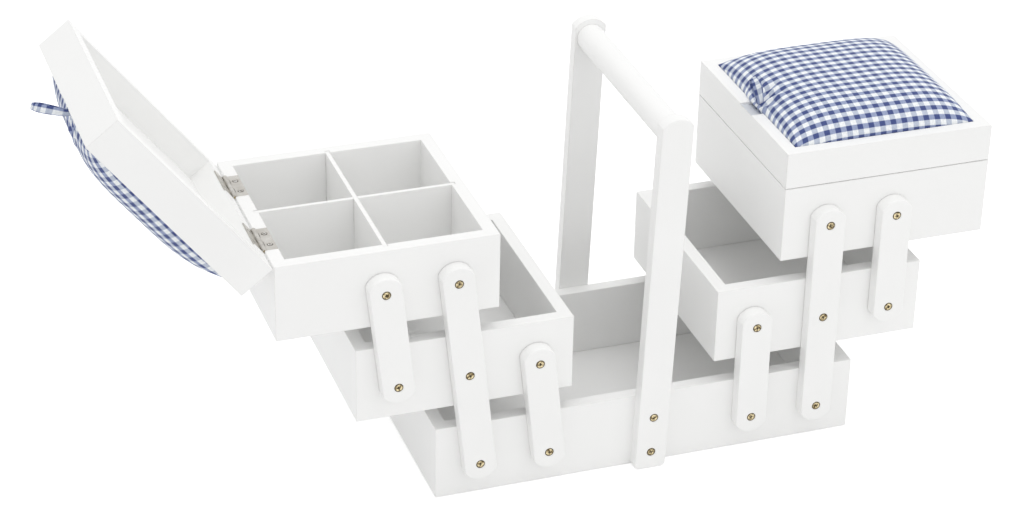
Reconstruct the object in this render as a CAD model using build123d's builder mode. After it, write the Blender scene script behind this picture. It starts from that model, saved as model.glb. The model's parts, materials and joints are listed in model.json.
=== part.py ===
"""Cantilever sewing box: a base, two fold-out halves of two trays each, padded lids and a handle.

X runs along the box, Y from front to back, Z up; the origin is under the middle of the base.
Each half is drawn with its own x axis pointing away from the middle of the box.
"""

import os
from math import asin, cos, degrees, radians, sin, sqrt, tan

from build123d import *

os.makedirs("parts", exist_ok=True)

# Boards and trays
box_depth = 156.5
tier_height = 55.5
tray_length = 154.0
tray_side_gap = 0.3
wall = 9.5
floor_thickness = 4.0
rabbet = 4.5
floor_play = 0.1
glue_line = 0.05

# Fold-out linkage
pivot_pitch = 50.0
closed_lean = 46.5
middle_closed_gap = 2.0
top_closed_gap = 1.0
stack_gap = 0.3
pivot_height = 27.75
arm_width = 22.5
arm_thickness = 9.5
arm_reach = 12.0
arm_rise = 7.0
arm_edge = 0.8
arm_play = 0.1

# How far each half stands open, how its pull loop leans and where along the lid it is
right_lean = 0.0
right_lid_open = 0.0
right_loop_lean = 80.0
right_loop_offset = -5.0
left_lean = 6.5
left_lid_open = 128.0
left_loop_lean = 32.0
left_loop_offset = 13.0

# Handle
post_width = 22.5
post_thickness = 9.5
post_height = 271.0
post_rise = 5.5
post_foot_radius = 3.0
handle_lean = 1.9
bar_diameter = 20.0
bar_drop = 13.7
bar_seat = 5.0
bar_play = 0.05

# Pivot and post screws
screw_shank = 3.5
screw_head = 6.3
screw_bite = 7.0
screw_sunk = 0.2
screw_play = 0.05
head_play = 0.15
pilot_play = 0.02
countersink_angle = 90.0
post_screw_low = 13.0
post_screw_pitch = 28.0

# Lid
lid_height = 26.5
lid_gap = 0.4
lid_recess = 18.0
panel_thickness = 3.0
panel_groove = 3.0
panel_play = 0.05
notch_width = 20.0
notch_outer_depth = 0.4
notch_inner_depth = 2.5

# Cushion and pull loop
cushion_gap = 0.3
cushion_corner = 4.0
crown = 18.5
crown_flatness = 4.0
crown_fullness = 0.6
crown_levels = (0.25, 0.5, 0.75, 0.9, 0.98)
gather_radius = 13.0
gather_height = 15.0
tape_width = 7.5
tape_thickness = 1.2
loop_length = 24.0
loop_tip = 2.8
loop_throat = 0.4
loop_throat_from_root = 5.6
loop_root_drop = 1.5
tape_play = 0.3

# Dividers of the top trays
divider_thickness = 3.0
divider_groove = 3.0
divider_drop = 0.5
divider_play = 0.1

# Hinges
hinge_length = 30.0
hinge_from_end = 24.0
hinge_drop = 0.6
leaf_thickness = 1.0
leaf_inset = 0.3
leaf_play = 0.05
barrel_diameter = 3.8
barrel_play = 0.25
pin_diameter = 1.6
pin_play = 0.05
knuckle_count = 5
knuckle_gap = 0.15
hinge_screw_pitch = 15.0
hinge_screw_from_axis = 5.6
hinge_screw_head = 4.4
hinge_screw_shank = 2.4
hinge_screw_length = 8.0
hinge_screw_sunk = 0.05

# Worked out from the sizes above
arm_span = sqrt(closed_lean**2 + (tier_height + stack_gap) ** 2)
base_length = 2 * (tray_length + top_closed_gap)
base_outer_pivot = tray_length / 2 + closed_lean + middle_closed_gap
base_inner_pivot = base_outer_pivot - pivot_pitch
top_inner_pivot = base_outer_pivot - 2 * closed_lean - top_closed_gap - tray_length / 2
tray_depth = box_depth - 2 * tray_side_gap
hinge_reach = tray_depth / 2 - hinge_from_end - hinge_length / 2
hinge_places = (-hinge_reach, hinge_reach)
post_lean_run = tan(radians(handle_lean))

print("arm, pivot to pivot:", round(arm_span, 3))
print("closed and fully open lean of the arms:", round(degrees(asin(closed_lean / arm_span)), 3))


def save(piece, name):
    piece.part.label = name
    export_step(piece.part, f"parts/{name}.step")


def face_seat(frame, x, z, facing, out=0.0):
    # A place on the front (facing -1) or rear (+1) face, with its z axis pointing off the box.
    turn = Rot(0, 0, 90 + 90 * facing)
    return frame * Pos(x, facing * (box_depth / 2 + out), z) * turn * Rot(90, 0, 0)


def both_faces(frame, places, out=0.0):
    return [face_seat(frame, x, z, facing, out) for x, z in places for facing in (-1, 1)]


def board_ring(frame, length, depth):
    # Front and rear boards run the full length; the end boards stand between them.
    with BuildSketch(Plane(frame)) as ring:
        with GridLocations(0, depth - wall, 1, 2):
            Rectangle(length, wall)
        with GridLocations(length - wall, 0, 2, 1):
            Rectangle(wall, depth - 2 * wall - 2 * glue_line)
    return ring.sketch


def inside(frame, length, depth, grow):
    # The clear rectangle between the boards, grown on every side.
    with BuildSketch(Plane(frame)) as clear:
        Rectangle(length - 2 * wall + 2 * grow, depth - 2 * wall + 2 * grow)
    return clear.sketch


def drill_pilots(places):
    with Locations(*places):
        Hole(screw_shank / 2 + pilot_play, depth=screw_bite + pilot_play)


def make_box(frame, length, depth, pilots, name):
    with BuildPart() as walls:
        extrude(board_ring(frame, length, depth), amount=tier_height)
        extrude(inside(frame, length, depth, rabbet), amount=floor_thickness, mode=Mode.SUBTRACT)
        drill_pilots(pilots)
    save(walls, f"{name}_walls")


def make_floor(frame, length, depth, name):
    with BuildPart() as floor:
        extrude(inside(frame, length, depth, rabbet - floor_play), amount=floor_thickness)
    save(floor, f"{name}_floor")


def make_screws(places, shank, head, length, name):
    head_height = (head - shank) / 2 / tan(radians(countersink_angle / 2))
    top = (Align.CENTER, Align.CENTER, Align.MAX)
    with BuildPart() as screws:
        with Locations(*places):
            Cylinder(shank / 2, length, align=top)
            Cone(shank / 2, head / 2, head_height, align=top)
    save(screws, name)


def make_arm(frame, facing, spans, name):
    # A flat bar with arched ends; its first pivot is at the frame's origin.
    outer = Plane(face_seat(frame, 0, 0, facing, arm_play))
    shoulder = arm_reach - arm_rise
    top = spans * arm_span
    half = arm_width / 2
    with BuildPart() as arm:
        with BuildSketch(outer):
            with BuildLine():
                Line((half, -shoulder), (half, top + shoulder))
                ThreePointArc((half, top + shoulder), (0, top + arm_reach), (-half, top + shoulder))
                Line((-half, top + shoulder), (-half, -shoulder))
                ThreePointArc((-half, -shoulder), (0, -arm_reach), (half, -shoulder))
            make_face()
        extrude(amount=arm_thickness)
        face = arm.faces().sort_by(Axis(outer.origin, outer.z_dir))[-1]
        fillet(face.edges(), arm_edge)
        outside = arm_play + arm_thickness
        with Locations(*[face_seat(frame, 0, i * arm_span, facing, outside) for i in range(spans + 1)]):
            CounterSinkHole(
                screw_shank / 2 + screw_play,
                screw_head / 2 + screw_sunk + head_play,
                counter_sink_angle=countersink_angle,
            )
    save(arm, name)


def make_arm_pair(frame, front, spans, name):
    make_arm(frame, front, spans, f"{name}_front")
    make_arm(frame, -front, spans, f"{name}_rear")


def post_screw_places(out):
    places = []
    for height in (post_screw_low, post_screw_low + post_screw_pitch):
        places += both_faces(Location(), [(height * post_lean_run, height)], out)
    return places


def make_post(facing, name):
    # Upright with an arched top and a softened foot, leaning a little along the box.
    half = post_width / 2
    shoulder = post_height - post_rise
    flip = -facing
    plane = Plane(face_seat(Location(), 0, 0, facing))

    def at(x, z):
        return (flip * (x + z * post_lean_run), z)

    with BuildPart() as post:
        with BuildSketch(plane) as outline:
            with BuildLine():
                Polyline(at(-half, shoulder), at(-half, 0), at(half, 0), at(half, shoulder))
                ThreePointArc(at(half, shoulder), at(0, post_height), at(-half, shoulder))
            make_face()
            fillet(outline.vertices().group_by(Axis.Y)[0], post_foot_radius)
        extrude(amount=post_thickness)
        face = post.faces().sort_by(Axis(plane.origin, plane.z_dir))[-1]
        fillet(face.edges(), arm_edge)
        with Locations(*[p for p in post_screw_places(post_thickness) if facing * p.position.Y > 0]):
            CounterSinkHole(
                screw_shank / 2 + screw_play,
                screw_head / 2 + screw_sunk + head_play,
                counter_sink_angle=countersink_angle,
            )
        bar_height = post_height - bar_drop
        with Locations(face_seat(Location(), bar_height * post_lean_run, bar_height, facing)):
            Cylinder(
                bar_diameter / 2 + bar_play,
                bar_seat,
                align=(Align.CENTER, Align.CENTER, Align.MIN),
                mode=Mode.SUBTRACT,
            )
    save(post, name)


def make_bar():
    bar_height = post_height - bar_drop
    seated = bar_seat - bar_play
    end = face_seat(Location(), bar_height * post_lean_run, bar_height, -1, seated)
    with BuildPart() as bar:
        with BuildSketch(Plane(end)):
            Circle(bar_diameter / 2)
        extrude(amount=-(box_depth + 2 * seated))
    save(bar, "handle_bar")


def cut_hinge_beds(axis, bed_from, bed_to):
    # Beds for the leaves across the end board, and a channel that clears the barrel.
    for y in hinge_places:
        with Locations(axis * Pos(-wall, y, bed_from)):
            Box(
                2 * wall,
                hinge_length + 2 * leaf_play,
                bed_to - bed_from,
                align=(Align.CENTER, Align.CENTER, Align.MIN),
                mode=Mode.SUBTRACT,
            )
        with Locations(axis * Pos(0, y, 0)):
            Cylinder(
                barrel_diameter / 2 + barrel_play,
                hinge_length + 2 * leaf_play,
                rotation=(90, 0, 0),
                mode=Mode.SUBTRACT,
            )


def hinge_screw_places(axis, y, height, turn):
    return [
        axis * Pos(-hinge_screw_from_axis, y + side * hinge_screw_pitch / 2, height) * Rot(turn, 0, 0)
        for side in (-1, 1)
    ]


def make_leaf(axis, y, low, own, turn, name):
    # One leaf of a butt hinge, with its share of the knuckles rolled round the pin.
    pitch = (hinge_length + knuckle_gap) / knuckle_count
    starts = [y - hinge_length / 2 + i * pitch for i in range(knuckle_count)]
    length = pitch - knuckle_gap
    low_end = (Align.CENTER, Align.CENTER, Align.MIN)
    leaf_width = wall - leaf_inset
    with BuildPart() as leaf:
        with Locations(axis * Pos(-leaf_width / 2, y, low)):
            Box(leaf_width, hinge_length, leaf_thickness, align=low_end)
        for i, start in enumerate(starts):
            with Locations(axis * Pos(0, start, 0) * Rot(-90, 0, 0)):
                if i % 2 == own:
                    Cylinder(barrel_diameter / 2, length, align=low_end)
        for i, start in enumerate(starts):
            with Locations(axis * Pos(0, start - knuckle_gap, 0) * Rot(-90, 0, 0)):
                if i % 2 != own:
                    Cylinder(
                        barrel_diameter / 2 + barrel_play,
                        length + 2 * knuckle_gap,
                        align=low_end,
                        mode=Mode.SUBTRACT,
                    )
        with Locations(axis * Pos(0, y, 0)):
            Cylinder(
                pin_diameter / 2 + pin_play, hinge_length, rotation=(90, 0, 0), mode=Mode.SUBTRACT
            )
        seat_height = low + leaf_thickness if turn == 0 else low
        with Locations(*hinge_screw_places(axis, y, seat_height, turn)):
            CounterSinkHole(
                hinge_screw_shank / 2 + screw_play,
                hinge_screw_head / 2 + hinge_screw_sunk + screw_play,
                counter_sink_angle=countersink_angle,
            )
    save(leaf, name)


def make_pins(axis, name):
    with BuildPart() as pins:
        for y in hinge_places:
            with Locations(axis * Pos(0, y, 0)):
                Cylinder(pin_diameter / 2, hinge_length, rotation=(90, 0, 0))
    save(pins, name)


def make_divided_walls(frame, pivots, axis, name):
    clear = (Align.CENTER, Align.CENTER, Align.MIN)
    slot = divider_thickness + 2 * divider_play
    with BuildPart() as walls:
        extrude(board_ring(frame, tray_length, tray_depth), amount=tier_height)
        floor_seat = inside(frame, tray_length, tray_depth, rabbet)
        extrude(floor_seat, amount=floor_thickness, mode=Mode.SUBTRACT)
        drill_pilots(both_faces(frame, pivots, -tray_side_gap))
        with Locations(frame * Pos(0, 0, floor_thickness)):
            Box(
                tray_length - 2 * wall + 2 * divider_groove,
                slot,
                tier_height,
                align=clear,
                mode=Mode.SUBTRACT,
            )
            Box(
                slot,
                tray_depth - 2 * wall + 2 * divider_groove,
                tier_height,
                align=clear,
                mode=Mode.SUBTRACT,
            )
        cut_hinge_beds(axis, hinge_drop - leaf_thickness - leaf_play, tier_height)
        for y in hinge_places:
            with Locations(*hinge_screw_places(axis, y, hinge_drop, 0)):
                Hole(hinge_screw_shank / 2 + pilot_play, depth=hinge_screw_length)
    save(walls, name)


def make_divider(frame, along_length, name):
    # Two thin sheets cross at a half-lap: one is notched from above, the other from below.
    low_end = (Align.CENTER, Align.CENTER, Align.MIN)
    height = tier_height - divider_drop - floor_thickness
    groove = 2 * (divider_groove - divider_play)
    slot = divider_thickness + 2 * divider_play
    with BuildPart() as divider:
        with Locations(frame * Pos(0, 0, floor_thickness)):
            if along_length:
                Box(tray_length - 2 * wall + groove, divider_thickness, height, align=low_end)
            else:
                Box(divider_thickness, tray_depth - 2 * wall + groove, height, align=low_end)
        lap_from = floor_thickness + (height / 2 if along_length else -divider_play)
        with Locations(frame * Pos(0, 0, lap_from)):
            Box(slot, slot, height / 2 + divider_play, align=low_end, mode=Mode.SUBTRACT)
    save(divider, name)


def make_lid_frame(lid, axis, notch_offset, name):
    with BuildPart() as walls:
        extrude(board_ring(lid, tray_length, tray_depth), amount=lid_height)
        groove_floor = lid * Pos(0, 0, lid_recess - panel_play)
        extrude(
            inside(groove_floor, tray_length, tray_depth, panel_groove),
            amount=panel_thickness + 2 * panel_play,
            mode=Mode.SUBTRACT,
        )
        ramp = lid * Pos(-tray_length / 2, notch_offset + notch_width / 2, lid_height) * Rot(90, 0, 0)
        with BuildSketch(Plane(ramp)):
            with BuildLine():
                Polyline(
                    (-wall, -notch_outer_depth),
                    (0, -notch_outer_depth),
                    (wall, -notch_inner_depth),
                    (wall, wall),
                    (-wall, wall),
                    close=True,
                )
            make_face()
        extrude(amount=notch_width, mode=Mode.SUBTRACT)
        leaf_low = hinge_drop + lid_gap
        cut_hinge_beds(axis, -lid_height, leaf_low + leaf_thickness + leaf_play)
        for y in hinge_places:
            with Locations(*hinge_screw_places(axis, y, leaf_low, 180)):
                Hole(hinge_screw_shank / 2 + pilot_play, depth=hinge_screw_length)
    save(walls, name)


def make_panel(lid, name):
    with BuildPart() as panel:
        seat = lid * Pos(0, 0, lid_recess)
        clear = inside(seat, tray_length, tray_depth, panel_groove - panel_play)
        extrude(clear, amount=panel_thickness)
    save(panel, name)


def crown_half(size, level):
    return size / 2 * (1 - level ** (1 / crown_fullness)) ** (1 / crown_flatness)


def crown_corner(size, level):
    # Rounding that carries a level curve through the pillow's diagonal.
    diagonal = size / 2 * (1 - level ** (1 / (2 * crown_fullness))) ** (1 / crown_flatness)
    return (crown_half(size, level) - diagonal) / (1 - sqrt(0.5))


def make_cushion(lid, notch_offset, name):
    length = tray_length - 2 * wall - 2 * cushion_gap
    depth = tray_depth - 2 * wall - 2 * cushion_gap
    seat = lid_recess + panel_thickness
    edge = -tray_length / 2 + wall
    low_end = (Align.MIN, Align.CENTER, Align.MIN)
    with BuildPart() as cushion:
        with BuildSketch(Plane(lid * Pos(0, 0, lid_height))) as rim:
            RectangleRounded(length, depth, cushion_corner)
        for level in crown_levels:
            with BuildSketch(Plane(lid * Pos(0, 0, lid_height + level * crown))):
                RectangleRounded(
                    2 * crown_half(length, level),
                    2 * crown_half(depth, level),
                    crown_corner(length, level),
                )
        loft()
        extrude(rim.sketch, amount=seat - lid_height)
        with Locations(lid * Pos(edge, notch_offset, lid_height + gather_height)):
            Sphere(gather_radius, mode=Mode.SUBTRACT)
        with Locations(lid * Pos(edge, notch_offset, seat)):
            Box(
                2 * tape_thickness + tape_play,
                tape_width + 2 * tape_play,
                gather_height,
                align=low_end,
                mode=Mode.SUBTRACT,
            )
    save(cushion, name)


def make_loop(lid, notch_offset, lean, name):
    # A folded tape: both ends go down together beside the board, the rest stands up as a loop.
    seat = lid_recess + panel_thickness
    root_height = lid_height - loop_root_drop
    side = lid * Pos(-tray_length / 2 + wall, notch_offset + tape_width / 2, 0) * Rot(90, 0, 0)
    root = (tape_thickness, root_height)
    along = (-cos(radians(lean)), sin(radians(lean)))
    tip = (root[0] + loop_length * along[0], root[1] + loop_length * along[1])
    throat = (
        root[0] + loop_throat_from_root * along[0],
        root[1] + loop_throat_from_root * along[1],
    )
    with BuildPart() as loop:
        with BuildSketch(Plane(side)):
            with Locations(root):
                Circle(tape_thickness)
            with Locations(tip):
                Circle(loop_tip)
            make_hull()
            with Locations((tape_thickness, seat)):
                Rectangle(
                    2 * tape_thickness, root_height - seat, align=(Align.CENTER, Align.MIN)
                )
        extrude(amount=tape_width)
        with BuildSketch(Plane(side)):
            with Locations(throat):
                Circle(loop_throat)
            with Locations(tip):
                Circle(loop_tip - tape_thickness)
            make_hull()
        extrude(amount=tape_width, mode=Mode.SUBTRACT)
    save(loop, name)


def make_half(side_name, half, front, lean, lid_open, loop_lean, loop_offset):
    rise = arm_span * cos(radians(lean))
    run = arm_span * sin(radians(lean))
    turn = Rot(0, lean, 0)
    middle_x = base_outer_pivot + run
    top_x = base_outer_pivot + 2 * run - top_inner_pivot
    middle = half * Pos(middle_x, 0, rise)
    top = half * Pos(top_x, 0, 2 * rise)
    outer_end = tray_length / 2
    hinge = top * Pos(outer_end, 0, tier_height - hinge_drop)
    lid_hinge = hinge * Rot(0, lid_open, 0)
    lid = lid_hinge * Pos(-outer_end, 0, hinge_drop + lid_gap)

    middle_pivots = [(x, pivot_height) for x in (-pivot_pitch, 0, pivot_pitch)]
    top_pivots = [(top_inner_pivot + x, pivot_height) for x in (0, pivot_pitch)]
    outside = arm_play + arm_thickness - screw_sunk
    screw_length = outside + tray_side_gap + screw_bite

    long_arm = half * Pos(base_outer_pivot, 0, pivot_height) * turn
    lower_arm = half * Pos(base_inner_pivot, 0, pivot_height) * turn
    upper_arm = middle * Pos(pivot_pitch, 0, pivot_height) * turn
    make_arm_pair(long_arm, front, 2, f"{side_name}_long_arm")
    make_arm_pair(lower_arm, front, 1, f"{side_name}_lower_arm")
    make_arm_pair(upper_arm, front, 1, f"{side_name}_upper_arm")

    middle_pilots = both_faces(middle, middle_pivots, -tray_side_gap)
    make_box(middle, tray_length, tray_depth, middle_pilots, f"{side_name}_middle")
    make_floor(middle, tray_length, tray_depth, f"{side_name}_middle")
    middle_screws = both_faces(middle, middle_pivots, outside)
    make_screws(middle_screws, screw_shank, screw_head, screw_length, f"{side_name}_middle_screws")

    make_divided_walls(top, top_pivots, hinge, f"{side_name}_top_walls")
    make_floor(top, tray_length, tray_depth, f"{side_name}_top")
    make_divider(top, True, f"{side_name}_long_divider")
    make_divider(top, False, f"{side_name}_cross_divider")
    top_screws = both_faces(top, top_pivots, outside)
    make_screws(top_screws, screw_shank, screw_head, screw_length, f"{side_name}_top_screws")

    leaf_low = hinge_drop + lid_gap
    tray_screws = []
    lid_screws = []
    for y, place in zip(hinge_places, ("first", "second")):
        tray_leaf_low = hinge_drop - leaf_thickness
        make_leaf(hinge, y, tray_leaf_low, 0, 0, f"{side_name}_{place}_tray_leaf")
        make_leaf(lid_hinge, y, leaf_low, 1, 180, f"{side_name}_{place}_lid_leaf")
        tray_screws += hinge_screw_places(hinge, y, hinge_drop - hinge_screw_sunk, 0)
        lid_screws += hinge_screw_places(lid_hinge, y, leaf_low + hinge_screw_sunk, 180)
    make_pins(hinge, f"{side_name}_hinge_pins")
    short = hinge_screw_length - 2 * hinge_screw_sunk
    make_screws(
        tray_screws, hinge_screw_shank, hinge_screw_head, short, f"{side_name}_hinge_tray_screws"
    )
    make_screws(
        lid_screws, hinge_screw_shank, hinge_screw_head, short, f"{side_name}_hinge_lid_screws"
    )

    make_lid_frame(lid, lid_hinge, loop_offset, f"{side_name}_lid_frame")
    make_panel(lid, f"{side_name}_lid_panel")
    make_cushion(lid, loop_offset, f"{side_name}_cushion")
    make_loop(lid, loop_offset, loop_lean, f"{side_name}_pull_loop")


base_pivot_reach = (base_inner_pivot, base_outer_pivot)
base_pivots = [(side * x, pivot_height) for side in (-1, 1) for x in base_pivot_reach]
arm_outside = arm_play + arm_thickness - screw_sunk
post_outside = post_thickness - screw_sunk

base_pilots = both_faces(Location(), base_pivots) + post_screw_places(0.0)

make_box(Location(), base_length, box_depth, base_pilots, "base")
make_floor(Location(), base_length, box_depth, "base")
make_screws(
    both_faces(Location(), base_pivots, arm_outside),
    screw_shank,
    screw_head,
    arm_outside + screw_bite,
    "base_pivot_screws",
)
make_screws(
    post_screw_places(post_outside),
    screw_shank,
    screw_head,
    post_outside + screw_bite,
    "handle_screws",
)
make_post(-1, "handle_front_post")
make_post(1, "handle_rear_post")
make_bar()

make_half(
    "right", Location(), -1, right_lean, right_lid_open, right_loop_lean, right_loop_offset
)
make_half(
    "left", Rot(0, 0, 180), 1, left_lean, left_lid_open, left_loop_lean, left_loop_offset
)
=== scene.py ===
import json
from math import atan2, cos, pi, radians, sin, sqrt, tan

import bmesh
import bpy
from mathutils import Matrix, Vector


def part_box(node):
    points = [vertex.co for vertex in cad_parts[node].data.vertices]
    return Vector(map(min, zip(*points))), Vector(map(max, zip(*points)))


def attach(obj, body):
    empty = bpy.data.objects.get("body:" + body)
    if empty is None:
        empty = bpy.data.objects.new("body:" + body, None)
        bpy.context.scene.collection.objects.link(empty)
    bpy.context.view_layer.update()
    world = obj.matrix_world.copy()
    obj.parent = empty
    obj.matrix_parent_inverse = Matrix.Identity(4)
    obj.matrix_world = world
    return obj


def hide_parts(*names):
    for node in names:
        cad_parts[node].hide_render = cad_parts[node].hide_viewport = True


mm = 0.001  # Blender works in metres, the sizes below are in millimetres

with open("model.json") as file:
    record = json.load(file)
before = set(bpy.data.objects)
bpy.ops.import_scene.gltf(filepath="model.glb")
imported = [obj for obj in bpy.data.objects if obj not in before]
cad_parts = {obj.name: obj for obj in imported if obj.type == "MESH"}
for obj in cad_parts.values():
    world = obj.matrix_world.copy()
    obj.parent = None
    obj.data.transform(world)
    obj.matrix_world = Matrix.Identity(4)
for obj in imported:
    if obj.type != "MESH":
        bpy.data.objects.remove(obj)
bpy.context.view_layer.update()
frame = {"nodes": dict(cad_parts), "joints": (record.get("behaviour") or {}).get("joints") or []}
nodes = frame["nodes"]
jointAt = {joint["name"]: Vector(joint["pos_m"]) for joint in frame["joints"]}
print("stage: frame loaded,", len(nodes), "nodes")


def nothingSelected():
    if bpy.context.object and bpy.context.object.mode != "OBJECT":
        bpy.ops.object.mode_set(mode="OBJECT")
    bpy.ops.object.select_all(action="DESELECT")


def pick(piece):
    nothingSelected()
    piece.select_set(True)
    bpy.context.view_layer.objects.active = piece


def added(name):
    # the primitive that an operator has just made, under its own name
    piece = bpy.context.object
    piece.name = name
    piece.data.name = name
    return piece


def applyAll(piece):
    pick(piece)
    for modifier in list(piece.modifiers):
        bpy.ops.object.modifier_apply(modifier=modifier.name)


def settle(piece):
    # place goes into the mesh, so the object sits unturned at the origin
    pick(piece)
    bpy.ops.object.transform_apply(location=True, rotation=True, scale=True)


def moveMesh(piece, matrix):
    piece.data.transform(matrix)
    piece.data.update()


def outward(piece):
    pick(piece)
    bpy.ops.object.mode_set(mode="EDIT")
    bpy.ops.mesh.select_all(action="SELECT")
    bpy.ops.mesh.normals_make_consistent(inside=False)
    bpy.ops.object.mode_set(mode="OBJECT")


def smooth(piece, angle):
    pick(piece)
    bpy.ops.object.shade_smooth_by_angle(angle=radians(angle))


def dress(piece, material):
    piece.data.materials.clear()
    piece.data.materials.append(material)


def duplicate(piece, name):
    copy = bpy.data.objects.new(name, piece.data.copy())
    bpy.context.scene.collection.objects.link(copy)
    return copy


def joined(pieces, name):
    nothingSelected()
    for piece in pieces:
        piece.select_set(True)
    bpy.context.view_layer.objects.active = pieces[0]
    bpy.ops.object.join()
    return added(name)


def hexColour(text):
    # sRGB as written, turned to the linear values that a shader takes
    parts = [int(text[i : i + 2], 16) / 255 for i in (1, 3, 5)]
    return [c / 12.92 if c <= 0.04045 else ((c + 0.055) / 1.055) ** 2.4 for c in parts] + [1.0]


def addNode(tree, kind, settings=None, links=None):
    # settings name properties, which come first, and sockets; links give sockets their sources
    node = tree.nodes.new(kind)
    for key, value in (settings or {}).items():
        if isinstance(key, str) and key not in node.inputs:
            setattr(node, key, value)
        else:
            node.inputs[key].default_value = value
    for key, (source, output) in (links or {}).items():
        tree.links.new(source.outputs[output], node.inputs[key])
    return node


def newMaterial(name):
    material = bpy.data.materials.new(name)
    material.use_nodes = True
    material.node_tree.nodes.clear()
    return material, material.node_tree


def output(tree, shader):
    addNode(tree, "ShaderNodeOutputMaterial", {}, {"Surface": (shader, 0)})


paint = {
    "white": "#f9f9f8",  # satin acrylic lacquer, titanium white
    "shade": "#f3f3f2",
    "paintedShadeInNotch": ("#dcdfe3", "#d4d7dc"),  # painted shade: grey on the notch's ramp, for the cushion's shadow that falls there
    "edge": "#e6e1d6",  # paint is thinner along the sanded edges
    "roughness": (0.34, 0.5),
    "ior": 1.47,
    "specular": 0.35,
    "grain": 1.3,  # mm between the grain lines of the pine below
    "grainRun": 22,  # how many times longer than wide a grain mark is
    "grainDepth": 0.12,
    "peel": 0.7,  # mm between the dimples that a roller leaves
    "peelDepth": 0.05,
    "peelStrength": 0.05,
    "cloud": 70,  # mm across the faint clouds in the white
    "edgeRadius": 0.45,  # mm that the render rounds an edge by
    "edgeTurn": (0.995, 0.85),  # cosine of the rounding where wear begins and where it is full
    "wear": 0.35,  # most of the edge colour that shows
}


def satinPaint(name, along, grainStrength, white=paint["white"], shade=paint["shade"]):
    # Satin white lacquer rolled on planed pine: white, softly glossy, with a trace of the grain
    material, tree = newMaterial(name)
    place = addNode(tree, "ShaderNodeTexCoord")
    stretch = [1 / mm / paint["grain"]] * 3
    stretch["xyz".index(along)] /= paint["grainRun"]
    run = addNode(tree, "ShaderNodeMapping", {"Scale": stretch}, {"Vector": (place, "Object")})
    grain = addNode(
        tree,
        "ShaderNodeTexNoise",
        {"Scale": 1.0, "Detail": 3.0, "Roughness": 0.6},
        {"Vector": (run, 0)},
    )
    cloud = addNode(
        tree,
        "ShaderNodeTexNoise",
        {"Scale": 1 / mm / paint["cloud"], "Detail": 2.0},
        {"Vector": (place, "Object")},
    )
    peel = addNode(
        tree,
        "ShaderNodeTexNoise",
        {"Scale": 1 / mm / paint["peel"], "Detail": 1.0},
        {"Vector": (place, "Object")},
    )
    tone = addNode(
        tree,
        "ShaderNodeMix",
        {"data_type": "RGBA", 6: hexColour(white), 7: hexColour(shade)},
        {0: (cloud, "Fac")},
    )
    # where the softened normal leaves the flat one there is an edge
    rounded = addNode(
        tree, "ShaderNodeBevel", {"samples": 4, "Radius": paint["edgeRadius"] * mm}
    )
    surface = addNode(tree, "ShaderNodeNewGeometry")
    facing = addNode(
        tree,
        "ShaderNodeVectorMath",
        {"operation": "DOT_PRODUCT"},
        {0: (rounded, 0), 1: (surface, "Normal")},
    )
    worn = addNode(
        tree,
        "ShaderNodeMapRange",
        {
            "From Min": paint["edgeTurn"][0],
            "From Max": paint["edgeTurn"][1],
            "To Min": 0.0,
            "To Max": paint["wear"],
        },
        {"Value": (facing, "Value")},
    )
    colour = addNode(
        tree,
        "ShaderNodeMix",
        {"data_type": "RGBA", 7: hexColour(paint["edge"])},
        {0: (worn, 0), 6: (tone, 2)},
    )
    gloss = addNode(
        tree,
        "ShaderNodeMapRange",
        {"To Min": paint["roughness"][0], "To Max": paint["roughness"][1]},
        {"Value": (grain, "Fac")},
    )
    dimpled = addNode(
        tree,
        "ShaderNodeBump",
        {"Strength": paint["peelStrength"], "Distance": paint["peelDepth"] * mm},
        {"Height": (peel, "Fac"), "Normal": (rounded, 0)},
    )
    grained = addNode(
        tree,
        "ShaderNodeBump",
        {"Strength": grainStrength, "Distance": paint["grainDepth"] * mm},
        {"Height": (grain, "Fac"), "Normal": (dimpled, 0)},
    )
    lacquer = addNode(
        tree,
        "ShaderNodeBsdfPrincipled",
        {"IOR": paint["ior"], "Specular IOR Level": paint["specular"]},
        {"Base Color": (colour, 2), "Roughness": (gloss, 0), "Normal": (grained, 0)},
    )
    output(tree, lacquer)
    return material


# brush and mottle are the mm between tumbling marks and across tarnish patches, and contrast is
# how soft the patches' edges are
plating = {
    "yellowZincPlatedScrew": {
        "bright": "#dccda6",
        "dull": "#66563a",
        "roughness": (0.18, 0.4),
        "brush": 0.3,
        "mottle": 1.9,
        "contrast": 0.12,
    },
    "nickelPlatedHinge": {
        "bright": "#d6d4cf",
        "dull": "#b9b5ae",
        "roughness": (0.24, 0.4),
        "brush": 0.2,
        "mottle": 7.0,
        "contrast": 0.3,
    },
    "nickelPlatedHingeScrew": {
        "bright": "#f4f3f0",
        "dull": "#9a958c",
        "roughness": (0.12, 0.3),
        "brush": 0.2,
        "mottle": 1.6,
        "contrast": 0.12,
    },
    "brassHingePin": {
        "bright": "#c9a95e",
        "dull": "#7d6a3c",
        "roughness": (0.22, 0.36),
        "brush": 0.2,
        "mottle": 2.0,
        "contrast": 0.25,
    },
}
tumbling = {"strength": 0.12, "depth": 0.03}  # the marks that the barrel leaves, depth in mm


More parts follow.
